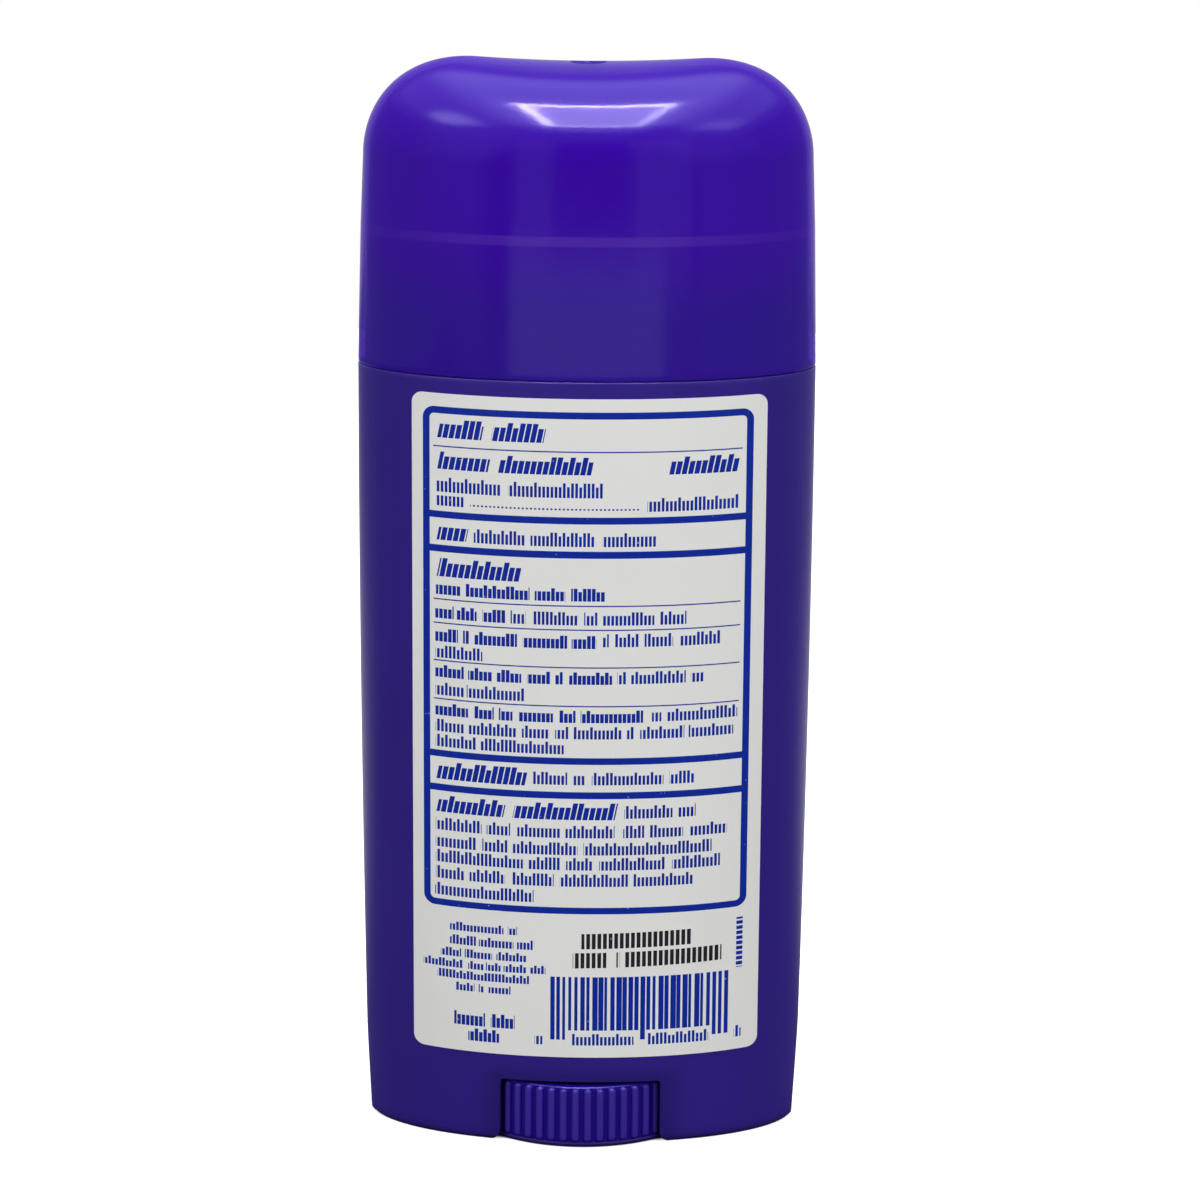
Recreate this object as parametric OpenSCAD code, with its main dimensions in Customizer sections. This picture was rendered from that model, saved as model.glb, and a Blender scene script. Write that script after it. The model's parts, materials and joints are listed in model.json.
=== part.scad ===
// Oval dial-up deodorant stick: a lift-off cap over a barrel, a ribbed dial with its screw,
// an elevator that climbs the screw, the solid stick that it carries, and a wrapped back label.
// Origin: centre of the base on the surface it stands on. +Z up, the label faces -Y.

/* [Barrel] */
// Width of the barrel at the seam under the cap
body_w = 63.6; // [56:0.2:74]
// Depth of the barrel at the seam, front to back
body_d = 33.6; // [31:0.2:38]
// Height of the seam above the base
body_h = 109.2; // [100:0.2:130]
// How much each half of the width draws in from the seam down to the base
body_draft = 1.0; // [0:0.1:1.4]
// How much each side swells out half way between the seam and the base
body_bow = 0.3; // [0:0.05:0.5]
// Height of the rounded edge round the base
foot_round_h = 1.2; // [0.6:0.1:4]
// How far that rounded edge draws in
foot_round_w = 0.6; // [0.3:0.1:1.2]
// Wall of the skirt below the barrel floor, measured at the base
skirt_wall = 2.0; // [1.7:0.1:2.6]
// Thickness of the barrel floor
floor_t = 1.4; // [1:0.1:2.5]
// Height of the sleeve that carries the dial, above the underside of the floor
sleeve_h = 4.4; // [3:0.1:6]
// Wall of that sleeve
sleeve_wall = 1.9; // [1:0.1:3]
// Width of the small chamfer on both edges of the seam
seam_groove = 0.2; // [0.1:0.05:0.4]

/* [Neck] */
// Height of the neck above the seam
neck_h = 19.4; // [14:0.2:22]
// Height of the bead round the top of the neck, which shows through the cap
bead_h = 1.2; // [0.8:0.1:2]
// Wall of the neck between its root and that bead
neck_wall = 0.9; // [0.7:0.05:1.3]
// How far the bead and the root stand out from the neck wall
bead_out = 0.25; // [0.15:0.05:0.4]

/* [Thumb windows] */
// Width of the opening that shows the dial, front and back
window_w = 22.6; // [16:0.2:25]
// Height of that opening above the base
window_h = 9.3; // [8:0.1:12]
// Radius of the flare at its two lower corners
window_flare = 1.6; // [0.6:0.1:2.2]

/* [Cap] */
// Height from the seam to where the cap starts to round over
cap_side_h = 28.7; // [26:0.2:36]
// Height of the crown above that level, in the middle
crown_h = 12.9; // [10:0.1:16]
// How much higher the crown's two ends are carried, which makes the saddle
saddle = 2.5; // [0:0.1:3.5]
// Wall of the cap
cap_wall = 0.95; // [0.8:0.05:1.2]
// Draft of the cap below the level of the neck bead, in mm per mm
cap_draft_low = 0.024; // [0.01:0.002:0.03]
// Draft of the cap above that level
cap_draft_high = 0.04; // [0.02:0.002:0.06]
// Gap between the cap and the neck's bead and root
cap_fit = 0.12; // [0.08:0.02:0.2]
// Diameter of the moulding gate's dimple on top
gate_d = 4.8; // [3:0.1:7]
// Depth of that dimple
gate_depth = 0.45; // [0.2:0.05:0.6]

/* [Dial] */
// Diameter over the ribs
dial_d = 35.0; // [34:0.2:36]
// Number of ribs round the dial
rib_count = 62; // [40:1:72]
// Radius of each rounded rib
rib_r = 0.55; // [0.4:0.05:0.7]
// Height of the dial's underside above the base
dial_lift = 0.1; // [0.05:0.05:0.8]
// Height of the plain rim below the ribs
rim_h = 0.7; // [0.3:0.1:1.2]
// Thickness of the dial's bottom plate and of its wall behind the ribs
dial_wall = 1.5; // [1:0.1:2.5]
// Gap between the top of the dial and the barrel floor
dial_top_gap = 0.8; // [0.5:0.1:1.2]
// Gap round the dial inside the skirt
dial_gap = 0.4; // [0.3:0.05:0.8]

/* [Screw] */
// Outer diameter of the screw
screw_d = 7.0; // [5.5:0.1:8]
// Height of the screw's tip below the top of the neck
screw_drop = 10.6; // [8:0.2:14]
// Diameter of the journal that turns in the barrel floor
journal_d = 12.0; // [11:0.1:14]
// Wall of the journal's snap sleeve
journal_wall = 1.3; // [1:0.1:1.5]
// How far the snap ring stands out above the barrel's sleeve
snap_out = 0.6; // [0.3:0.1:0.9]
// Radial running gap of the journal and of the elevator's nut
run_gap = 0.05; // [0.02:0.01:0.09]

/* [Elevator and stick] */
// Height of the elevator's platform above the base, fully wound down
platform_z = 73.0; // [60:0.5:80]
// Thickness of the platform
platform_t = 1.5; // [1:0.1:2.5]
// Depth of the skirt that guides the elevator, below the platform
guide_h = 12.5; // [8:0.5:18]
// Wall of the skirt and of the rim round the stick
guide_wall = 1.0; // [0.8:0.1:1.6]
// Height of the rim that holds the foot of the stick
cup_h = 4.0; // [2:0.2:7]
// Outer diameter of the nut boss
nut_d = 12.0; // [10:0.2:15]
// Height of the nut boss above the platform
nut_up = 5.0; // [3:0.5:8]
// Height of the nut boss below the platform
nut_down = 10.0; // [6:0.5:11]
// Gap between the sliding parts and the barrel
slide_gap = 0.3; // [0.2:0.05:0.5]
// Gap round the screw inside the stick
stick_bore_gap = 0.4; // [0.3:0.1:1]
// Height of the stick's domed end above the neck
dome_h = 10.4; // [8:0.2:11]

/* [Label] */
// Width of the label as it is seen from the front
label_w = 48.6; // [36:0.2:50]
// Height of the label
label_h = 93.9; // [70:0.1:94]
// Height of its lower edge above the base
label_z = 13.0; // [11:0.1:14]
// How far it sits to the right of the middle
label_x = 0.65; // [-1:0.05:1]
// Radius of its corners
label_corner = 1.5; // [0.5:0.1:4]
// Thickness of the paper and its glue
label_t = 0.12; // [0.08:0.01:0.3]

/* [Hidden] */
$fn = 96;
ring_n = 72;     // points round one ring of a lofted skin
crown_steps = 9; // rings from the shoulder of a crown to its ridge
round_steps = 6; // steps of the rounded foot
wall_steps = 6;  // rings of the barrel's wall between the base and the seam
eps = 0.01;      // how far a cutter passes the face that it opens
reach = 100;     // longer than any cut needs
web_t = 1.0;     // thickness of the dial's and the elevator's webs
web_count = 6;   // webs in the dial's cup
slit_w = 1.0;    // width of the slits in the snap sleeve
rib_turn = 1.0;  // how many degrees the ribs are turned on from the middle of a side

// Half sizes of the barrel at the seam
a_seam = body_w / 2;
b_seam = body_d / 2;

// The cap's outer half width and half depth are the seam's, drawn in with height above it
function cap_in(h) =
    cap_draft_low * min(h, neck_h) + cap_draft_high * max(h - neck_h, 0);

// Neck and bore, worked inwards from the cap's inner wall at the top of the neck
bead_inset = cap_in(neck_h) + cap_wall + cap_fit;
neck_inset = bead_inset + bead_out;
bore_inset = neck_inset + neck_wall;
root_h = bead_h;
root_inset = cap_in(root_h) + cap_wall + cap_fit;

floor_z = window_h + 0.3;
neck_top = body_h + neck_h;
dial_top = floor_z - dial_top_gap;
sleeve_top = floor_z + sleeve_h;
rib_mid = dial_d / 2 - rib_r;
journal_r = journal_d / 2;
journal_top = sleeve_top + 0.1;
snap_h = 1.2;
screw_top = neck_top - screw_drop;
guide_bottom = platform_z - platform_t - guide_h;

barrel_colour = [0.16, 0.12, 0.45];
cap_colour = [0.24, 0.12, 0.62];
dial_colour = [0.17, 0.10, 0.48];
elevator_colour = [0.93, 0.93, 0.94];
stick_colour = [0.95, 0.96, 0.97];
label_colour = [0.85, 0.85, 0.84];

// One oval ring at height z. inset is measured inwards from the seam's half sizes. On a crown, t
// goes from 0 at the shoulder to 90 on the ridge, while the ring closes in by its half depth and
// rises by rise, and the saddle carries it up further towards its two ends.
function oval_ring(inset, z, rise = 0, t = 0) =
    let (
        a = a_seam - inset,
        b = b_seam - inset,
        d = b * (1 - cos(t)))
    [for (j = [0:ring_n - 1])
        let (
            w = 360 * j / ring_n,
            x = (a - d) * cos(w))
        [x, (b - d) * sin(w), z + sin(t) * (rise + saddle * pow(x / a_seam, 2))]];

// Rings of a whole crown, from its shoulder to just short of the ridge
function crown(inset, z, rise) =
    [for (i = [0:crown_steps])
        oval_ring(inset, z, rise, 87 * i / crown_steps)];

// A closed skin through a list of rings. Each end is closed by a ladder across the oval.
module oval_skin(rings) {
    n = ring_n;
    last = (len(rings) - 1) * n;
    sides = [for (k = [0:len(rings) - 2], j = [0:n - 1])
        let (
            p = k * n + j,
            q = k * n + (j + 1) % n)
        each [[p, p + n, q + n], [p, q + n, q]]];
    first_end = [for (j = [0:n / 2 - 1])
        let (
            p = j,
            q = j + 1,
            r = (n - j - 1) % n,
            s = (n - j) % n)
        each (j == 0 ? [[p, q, r]] : j == n / 2 - 1 ? [[p, q, s]] : [[p, q, r], [p, r, s]])];
    last_end = [for (f = first_end) [f[2] + last, f[1] + last, f[0] + last]];
    polyhedron(points = [for (ring = rings) each ring], faces = concat(sides, first_end, last_end));
}

// An upright oval column, h high, its half sizes drawn in from the seam's by inset
module oval_column(inset, h) {
    linear_extrude(h)
        polygon([for (p = oval_ring(inset, 0)) [p[0], p[1]]]);
}

// A round bar of radius r between two heights
module cylinder_from(r, z1, z2) {
    translate([0, 0, z1])
        cylinder(r = r, h = z2 - z1);
}

// How far the barrel's outside is drawn in from the seam's size, at height h
function body_in(h) =
    let (up = h / body_h)
    body_draft * (1 - up) - 4 * body_bow * up * (1 - up);

// The rings of the barrel's wall between the base and the seam, grown by skin
function wall_rings(skin = 0) = [for (i = [1:wall_steps - 1])
    let (h = body_h * i / wall_steps)
    oval_ring(body_in(h) - skin, h)];

// The outside of the barrel up to the seam: a rounded foot, a drafted wall and a small chamfer
module barrel_body() {
    foot = [for (i = [0:round_steps])
        let (
            t = 90 * i / round_steps,
            h = foot_round_h * (1 - cos(t)))
        oval_ring(body_in(h) + foot_round_w * (1 - sin(t)), h)];
    oval_skin(concat(
        foot,
        wall_rings(),
        [oval_ring(body_in(body_h - seam_groove), body_h - seam_groove),
         oval_ring(seam_groove, body_h)]));
}

// The thumb opening seen from the front: upright sides that flare out at the base
module window_outline() {
    half = window_w / 2;
    translate([-half, -eps])
        square([window_w, window_h + eps]);
    for (side = [-1, 1])
        difference() {
            translate([side > 0 ? half - eps : -half - window_flare, -eps])
                square([window_flare + eps, window_flare + eps]);
            translate([side * (half + window_flare), window_flare])
                circle(r = window_flare);
        }
}

module barrel() {
    color(barrel_colour)
    difference() {
        union() {
            barrel_body();
            translate([0, 0, body_h - eps])
                oval_column(neck_inset, neck_h + eps);
            translate([0, 0, body_h - eps])
                oval_column(root_inset, root_h + eps);
            translate([0, 0, neck_top - bead_h])
                oval_column(bead_inset, bead_h);
        }
        // the bore that the elevator slides in, left open round the floor's sleeve
        difference() {
            translate([0, 0, floor_z + floor_t])
                oval_column(bore_inset, reach + body_h);
            cylinder(r = journal_r + run_gap + sleeve_wall, h = sleeve_top);
        }
        // the skirt below the floor, with a round pocket for the dial
        translate([0, 0, -eps])
            oval_column(body_draft + skirt_wall, floor_z + eps);
        cylinder_from(dial_d / 2 + dial_gap, -eps, window_h - 0.05);
        cylinder_from(journal_r + run_gap, -eps, reach);
        rotate([90, 0, 0])
            linear_extrude(reach, center = true)
                window_outline();
    }
}

// Outline of the dial over its ribs
module ribbed_outline() {
    circle(r = rib_mid);
    for (i = [0:rib_count - 1])
        rotate(i * 360 / rib_count + rib_turn)
            translate([rib_mid, 0])
                circle(r = rib_r);
}

// The dial's ribbed wall on its plain rim, the ribs rounding off at both ends
module dial_wall_outside() {
    rib_z = dial_lift + rim_h;
    rib_h = dial_top - rib_z;
    intersection() {
        translate([0, 0, rib_z])
            linear_extrude(rib_h)
                ribbed_outline();
        translate([0, 0, rib_z])
            rotate_extrude()
                polygon([[0, 0], [rib_mid, 0], [rib_mid + rib_r, rib_r],
                         [rib_mid + rib_r, rib_h - rib_r], [rib_mid, rib_h], [0, rib_h]]);
    }
    cylinder_from(rib_mid, dial_lift, dial_top);
    cylinder_from(dial_d / 2, dial_lift, rib_z);
}

module dial() {
    cup_r = rib_mid - dial_wall;
    color(dial_colour)
    union() {
        difference() {
            union() {
                dial_wall_outside();
                cylinder_from(journal_r, dial_lift, journal_top);
                translate([0, 0, journal_top])
                    cylinder(r1 = journal_r + snap_out, r2 = journal_r, h = snap_h);
            }
            // the cup is open at the top, with the journal standing in it and webs round it
            difference() {
                cylinder_from(cup_r, dial_lift + dial_wall, dial_top + eps);
                cylinder_from(journal_r, 0, dial_top + 1);
                for (i = [0:web_count - 1])
                    rotate(i * 360 / web_count)
                        translate([0, -web_t / 2, 0])
                            cube([cup_r + eps, web_t, dial_top - 1]);
            }
            // the journal is hollow and slit, so that its snap ring springs through the floor
            cylinder_from(journal_r - journal_wall, dial_top, reach);
            for (turn = [45, 135])
                rotate(turn)
                    translate([-journal_d, -slit_w / 2, floor_z])
                        cube([2 * journal_d, slit_w, reach]);
        }
        // the screw stands in the middle of the journal
        cylinder_from(screw_d / 2, dial_lift, screw_top);
    }
}

module elevator() {
    outer = bore_inset + slide_gap;
    inner = outer + guide_wall;
    web_bottom = guide_bottom + 3;
    color(elevator_colour)
    difference() {
        translate([0, 0, guide_bottom])
            oval_column(outer, platform_z + cup_h - guide_bottom);
        // the hollow below the platform, left full at the nut boss and at the webs that brace it
        difference() {
            translate([0, 0, guide_bottom - eps])
                oval_column(inner, guide_h + eps);
            cylinder_from(nut_d / 2, platform_z - nut_down, platform_z);
            for (turn = [0, 90])
                rotate(turn)
                    translate([-reach / 2, -web_t / 2, web_bottom])
                        cube([reach, web_t, guide_h]);
        }
        // the cup above it, round the upper end of the boss
        difference() {
            translate([0, 0, platform_z])
                oval_column(inner, cup_h + nut_up);
            cylinder_from(nut_d / 2, platform_z - eps, platform_z + nut_up);
        }
        cylinder_from(screw_d / 2 + run_gap, 0, reach);
    }
}

// Rings up the cap's wall, inset by skin, from its rim to its shoulder
function cap_wall_rings(skin) =
    [for (h = [seam_groove, neck_h, cap_side_h - 0.5])
        oval_ring(cap_in(h) + skin, body_h + h)];

module cap() {
    shoulder_z = body_h + cap_side_h;
    shoulder_in = cap_in(cap_side_h);
    outside = concat(
        [oval_ring(seam_groove, body_h)],
        cap_wall_rings(0),
        crown(shoulder_in, shoulder_z, crown_h));
    inside = concat(
        [oval_ring(cap_wall, body_h)],
        cap_wall_rings(cap_wall),
        crown(shoulder_in + cap_wall, shoulder_z, crown_h - cap_wall));
    inside_down = [for (i = [len(inside) - 1:-1:0]) inside[i]];
    crown_top = shoulder_z + crown_h;
    dimple_r = (pow(gate_d / 2, 2) + pow(gate_depth, 2)) / (2 * gate_depth);
    color(cap_colour)
    difference() {
        oval_skin(concat(inside_down, outside));
        translate([0, 0, crown_top - gate_depth + dimple_r])
            sphere(r = dimple_r);
    }
}

module stick() {
    side = bore_inset + slide_gap;
    foot = side + guide_wall + 0.05;
    cup_top = platform_z + cup_h + 0.05;
    rings = concat(
        [oval_ring(foot, platform_z),
         oval_ring(foot, cup_top),
         oval_ring(side, cup_top)],
        crown(side, neck_top, dome_h));
    color(stick_colour)
    difference() {
        oval_skin(rings);
        cylinder_from(nut_d / 2 + 0.05, platform_z - eps, platform_z + nut_up + 0.05);
        cylinder_from(screw_d / 2 + stick_bore_gap, platform_z - eps, screw_top + 0.5);
    }
}

// The barrel's drafted wall without its foot, grown by skin
module drafted_wall(skin) {
    oval_skin(concat(
        [oval_ring(body_in(0) - skin, 0)],
        wall_rings(skin),
        [oval_ring(-skin, body_h)]));
}

// The label seen from the front
module label_outline() {
    r = label_corner;
    translate([r, 0])
        square([label_w - 2 * r, label_h]);
    translate([0, r])
        square([label_w, label_h - 2 * r]);
    for (x = [r, label_w - r], y = [r, label_h - r])
        translate([x, y])
            circle(r = r);
}

module label() {
    color(label_colour)
    intersection() {
        // a thin skin that follows the drafted wall, on a hair of glue
        difference() {
            drafted_wall(eps + label_t);
            drafted_wall(eps);
        }
        translate([label_x - label_w / 2, 0, label_z])
            rotate([90, 0, 0])
                linear_extrude(reach)
                    label_outline();
    }
}

barrel();
dial();
elevator();
stick();
cap();
label();
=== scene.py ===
import json
import math
from functools import reduce
from operator import add

import bmesh
import bpy
import numpy as np
from mathutils import Matrix, Vector


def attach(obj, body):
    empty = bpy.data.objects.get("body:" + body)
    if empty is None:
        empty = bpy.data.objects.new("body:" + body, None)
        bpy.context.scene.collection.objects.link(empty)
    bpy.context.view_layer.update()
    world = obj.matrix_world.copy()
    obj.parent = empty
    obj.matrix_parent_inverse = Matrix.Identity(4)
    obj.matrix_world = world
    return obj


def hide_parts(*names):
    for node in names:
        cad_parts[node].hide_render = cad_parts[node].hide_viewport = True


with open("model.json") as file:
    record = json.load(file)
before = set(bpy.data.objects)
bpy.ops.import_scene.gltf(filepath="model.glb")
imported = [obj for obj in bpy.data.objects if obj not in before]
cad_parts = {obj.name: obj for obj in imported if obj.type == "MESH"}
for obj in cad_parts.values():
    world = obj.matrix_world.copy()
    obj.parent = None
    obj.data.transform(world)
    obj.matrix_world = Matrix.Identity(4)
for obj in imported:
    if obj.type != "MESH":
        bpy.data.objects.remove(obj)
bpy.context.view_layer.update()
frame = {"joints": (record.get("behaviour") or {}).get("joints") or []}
mm = 0.001

# Camera
# The photograph looks down by 13 degrees from about 0.6 m, with a long lens. The view was fitted to
# the outline, the seam, the label's edges and the base, in mm, radians and pixels.
camera_distance = 559.354
camera_height = 204.2455
camera_pitch = 0.2267
camera_roll = 0.0075
object_turn = -0.0159
object_shift = -2.0794
focal_px = 4075.77
picture_px = 1200
sensor_width = 36
turn = Matrix.Rotation(-object_turn, 4, "Z")
place = Matrix.Translation((-object_shift * mm, -camera_distance * mm, camera_height * mm))
aim = Matrix.Rotation(math.pi / 2 - camera_pitch, 4, "X") @ Matrix.Rotation(camera_roll, 4, "Z")
camera_data = bpy.data.cameras.new("camera")
camera_data.sensor_width = sensor_width
camera_data.lens = focal_px / picture_px * sensor_width
camera_data.clip_start = 0.01
camera = bpy.data.objects.new("camera", camera_data)
camera.matrix_world = turn @ place @ aim
bpy.context.scene.collection.objects.link(camera)
bpy.context.scene.camera = camera

# Barrel
# One injection moulding in dark violet polypropylene: the drafted oval body with its rounded foot,
# the neck that the cap pushes on to, two thumb windows, and the floor with the dial's sleeve.
half_width = 31.8
half_depth = 16.8
body_height = 109.2
body_draft = 1.0
body_bow = 0.3
foot_height = 1.2
foot_in = 0.6
skirt_wall = 2.0
floor_under = 9.6
floor_top = 11.0
sleeve_top = 14.0
sleeve_radius = 7.95
journal_hole = 6.05
dial_pocket = 17.9
seam_chamfer = 0.2
lip_round = 0.25
neck_top = 128.6
bead_height = 1.2
bead_in = 1.536
neck_in = 1.786
bore_in = 2.686
root_in = 1.099
window_half = 11.3
window_height = 9.3
window_flare = 1.6
window_corner = 0.35
ruled_top = 14.0
# The round of an outer edge and of a corner, on this moulding and the others.
ease = 0.2
fillet = 0.3
barrel_dark = (0.0220, 0.0090, 0.188)
barrel_light = (0.0265, 0.0115, 0.224)
window_painted_shade = (0.008, 0.004, 0.085)
# The colour of the painted shadow along the foot, on the barrel and on the dial.
floor_contact_shade = (0.004, 0.002, 0.035)
bead_painted_light = (0.16, 0.10, 0.42)


def put(name, parts, body, node):
    """A piece's mesh from parts, each an array of points in mm and a list of faces. Doubled points are
    welded, faces that have collapsed are dropped, and edges of over 38 degrees are shaded sharp."""
    points, faces = [], []
    for part_points, part_faces in parts:
        start = sum(len(p) for p in points)
        points.append(part_points)
        faces += (np.array(part_faces) + start).tolist()
    mesh = bpy.data.meshes.new(name)
    mesh.from_pydata((np.concatenate(points) * mm).tolist(), [], faces)
    piece = bpy.data.objects.new(name, mesh)
    bpy.context.scene.collection.objects.link(piece)
    work = bmesh.new()
    work.from_mesh(mesh)
    bmesh.ops.remove_doubles(work, verts=work.verts, dist=1e-6)
    bmesh.ops.dissolve_degenerate(work, edges=work.edges, dist=1e-7)
    bmesh.ops.recalc_face_normals(work, faces=work.faces)
    work.to_mesh(mesh)
    work.free()
    mesh.shade_smooth()
    mesh.set_sharp_from_angle(angle=math.radians(38))
    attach(piece, body)
    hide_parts(node)
    return piece


def tube_faces(rows, columns, around=True, loop=False, first=0):
    """Four-sided faces of a grid of rows by columns, closed around each row, and from the last row
    back to the first where it is a loop."""
    r = np.arange(rows if loop else rows - 1)[:, None]
    c = np.arange(columns if around else columns - 1)[None, :]
    a = r * columns + c
    b = r * columns + (c + 1) % columns
    d = ((r + 1) % rows) * columns + c
    e = ((r + 1) % rows) * columns + (c + 1) % columns
    quads = np.stack([a, b, e, d], -1).reshape(-1, 4) + first
    return quads.tolist()


def oval(inset, w, z):
    """Points of one oval ring at height z: the seam's half sizes less the inset, times the cosine and
    the sine of the angle w."""
    a, b = half_width - inset, half_depth - inset
    return np.stack([a * np.cos(w), b * np.sin(w), z + 0 * w], -1)


def round_ring(radius, w, z):
    """Points of one circle at height z, at the same angles as an oval's."""
    return np.stack([radius * np.cos(w), radius * np.sin(w), z + 0 * w], -1)


def wall_in(z):
    """How far the barrel's wall is drawn in from the seam at height z, without its foot: a draft that
    falls off evenly, less a swell that is greatest half way up: d (1 - u) - 4 s u (1 - u), at least 0."""
    up = z / body_height
    return np.maximum(body_draft * (1 - up) - 4 * body_bow * up * (1 - up), 0)


def body_in(z):
    """The same with the rounded foot, which is a quarter of an oval."""
    rise = np.clip(z / foot_height, 0, 1)
    foot = foot_in * (1 - np.sqrt(np.clip(1 - (1 - rise) ** 2, 0, 1)))
    return wall_in(z) + foot


def window_path(side_steps):
    """The lower edge of the barrel's wall on the label's side, as (x, z) from left to right: the base,
    a flare, up the window's side, round its corner, over its top and down again."""
    t = np.linspace(0, 1, side_steps)
    corner = np.linspace(0, np.pi / 2, 5)
    flare = np.linspace(0, np.pi / 2, 9)
    fx = -window_half - window_flare + window_flare * np.sin(flare)
    fz = window_flare - window_flare * np.cos(flare)
    up = np.linspace(window_flare, window_height - window_corner, 12)[1:-1]
    cx = -window_half + window_corner * (1 - np.cos(corner))
    cz = window_height - window_corner * (1 - np.sin(corner))
    left = np.concatenate([
        np.stack([fx, fz], -1),
        np.stack([-window_half + 0 * up, up], -1),
        np.stack([cx, cz], -1)])
    top = np.linspace(cx[-1], -cx[-1], 42)[1:-1]
    right = left[::-1] * [-1, 1]
    middle = np.stack([top, window_height + 0 * top], -1)
    path = np.concatenate([left, middle, right])
    w_end = np.arccos(-path[0, 0] / (half_width - body_in(0.0)))
    w = np.linspace(0, w_end, side_steps + 1)[:-1]
    base_x = (half_width - body_in(0.0)) * np.cos(w)
    before = np.stack([-base_x, 0 * base_x], -1)
    after = np.stack([base_x[::-1], 0 * base_x], -1)
    return np.concatenate([before, path, after])


# The lower edge of the wall on both sides. The points of a window's upright sides share one x, so
# higher up they are spread over the flare's width.
edge = window_path(70)[:-1]
at_window = np.abs(edge[:, 0]) <= window_half + window_flare + 0.01
spread = edge[:, 0].copy()
upright = at_window & (np.abs(edge[:, 0]) >= window_half - window_corner - 0.001)
for side in (-1, 1):
    these = upright & (np.sign(edge[:, 0]) == side)
    order = np.linspace(0, 1, these.sum())
    ends = (window_half + window_flare, window_half - window_corner)
    spread[these] = side * (np.interp(order, [0, 1], ends if side < 0 else ends[::-1]))
edge_x = np.concatenate([edge[:, 0], -edge[:, 0]])
edge_z = np.concatenate([edge[:, 1], edge[:, 1]])
spread_x = np.concatenate([spread, -spread])
face_sign = np.repeat([-1.0, 1.0], len(edge))
base_half = half_width - body_in(0.0)
top_w = np.arccos(np.clip(spread_x / base_half, -1, 1)) * face_sign


def wall_point(x, z, sign, inset):
    """A point of the barrel's wall at x and z, at a given inset from the seam, on the label's side
    where sign is -1 and on the other where it is 1."""
    a, b = half_width - inset, half_depth - inset
    return np.stack([x, sign * b * np.sqrt(np.clip(1 - (x / a) ** 2, 0, 1)), z + 0 * x], -1)


def barrel_rings():
    """Every ring of the barrel, as one closed loop: up the outside from the windows' edge, over the
    neck, down the bore, round the sleeve, and down the inside of the skirt to the edge again."""
    rings = []
    top_x = np.cos(top_w) * (half_width - body_in(ruled_top))
    for k in np.linspace(0, 1, 15) ** 1.3:
        z = edge_z + (ruled_top - edge_z) * k
        x = edge_x + (top_x - edge_x) * k
        limit = half_width - body_in(z)
        rings.append(wall_point(np.clip(x, -limit, limit), z, face_sign, body_in(z)))
    w = top_w
    for z in np.linspace(ruled_top, body_height - seam_chamfer - 0.6, 12)[1:]:
        rings.append(oval(body_in(z), w, z))
    for c in np.linspace(0, np.pi / 2, 5):
        z = body_height - seam_chamfer - 0.05 + lip_round * np.sin(c) * 0.8
        rings.append(oval(body_in(z) + lip_round * (1 - np.cos(c)), w, z))
    shelf = body_height
    for inset, z in [(0.45, shelf), (root_in + 0.12, shelf), (root_in, shelf + 0.12),
                     (root_in, shelf + bead_height - 0.1), (root_in + 0.08, shelf + bead_height),
                     (neck_in - 0.05, shelf + bead_height + 0.05), (neck_in, shelf + bead_height + 0.15)]:
        rings.append(oval(inset, w, z))
    for z in np.linspace(shelf + 2, neck_top - bead_height - 0.15, 4):
        rings.append(oval(neck_in, w, z))
    bead_foot = neck_top - bead_height
    for inset, z in [(neck_in - 0.05, bead_foot - 0.05), (bead_in + 0.05, bead_foot),
                     (bead_in, bead_foot + 0.08), (bead_in, neck_top - 0.35),
                     (bead_in + 0.08, neck_top - 0.12), (bead_in + 0.25, neck_top),
                     (bore_in - ease, neck_top), (bore_in, neck_top - ease)]:
        rings.append(oval(inset, w, z))
    for z in np.linspace(neck_top - 2, floor_top + 0.5, 8):
        rings.append(oval(bore_in, w, z))
    rings.append(oval(bore_in + 0.15, w, floor_top + 0.15))
    rings.append(oval(bore_in + 0.5, w, floor_top))
    for radius, z in [(sleeve_radius + fillet, floor_top), (sleeve_radius, floor_top + fillet),
                      (sleeve_radius, sleeve_top - ease), (sleeve_radius - ease, sleeve_top),
                      (journal_hole + ease, sleeve_top), (journal_hole, sleeve_top - ease),
                      (journal_hole, floor_under + ease), (journal_hole + ease, floor_under)]:
        rings.append(round_ring(radius, w, z))
    in_a = half_width - body_draft - skirt_wall
    in_b = half_depth - body_draft - skirt_wall
    q = in_a / base_half

    def inner(x_out, z):
        """The skirt's inside straight behind a point of its outside: the wider of the oval hollow and
        the round pocket of the dial, the hollow's ends drawn in smoothly, and always 0.4 inside."""
        t = np.clip((np.abs(x_out) - 14) / (base_half - 14), 0, 1)
        x = x_out * (1 - (1 - q) * t * t * (3 - 2 * t))
        y = in_b * np.sqrt(np.clip(1 - (x / in_a) ** 2, 0, 1))
        pocket = np.sqrt(np.clip(dial_pocket ** 2 - x ** 2, 0, None))
        outside = np.abs(wall_point(x, z, face_sign, body_in(z))[:, 1]) - 0.4
        y = np.where(t < 0.5, np.minimum(np.maximum(y, pocket), outside), np.maximum(y, pocket))
        return np.stack([x, face_sign * y, z + 0 * x], -1)

    for k in np.linspace(1, 0, 7):
        z = edge_z + (floor_under - edge_z) * k
        x = edge_x + (spread_x - edge_x) * k
        rings.append(inner(x, z))
    return np.array(rings)


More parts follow.
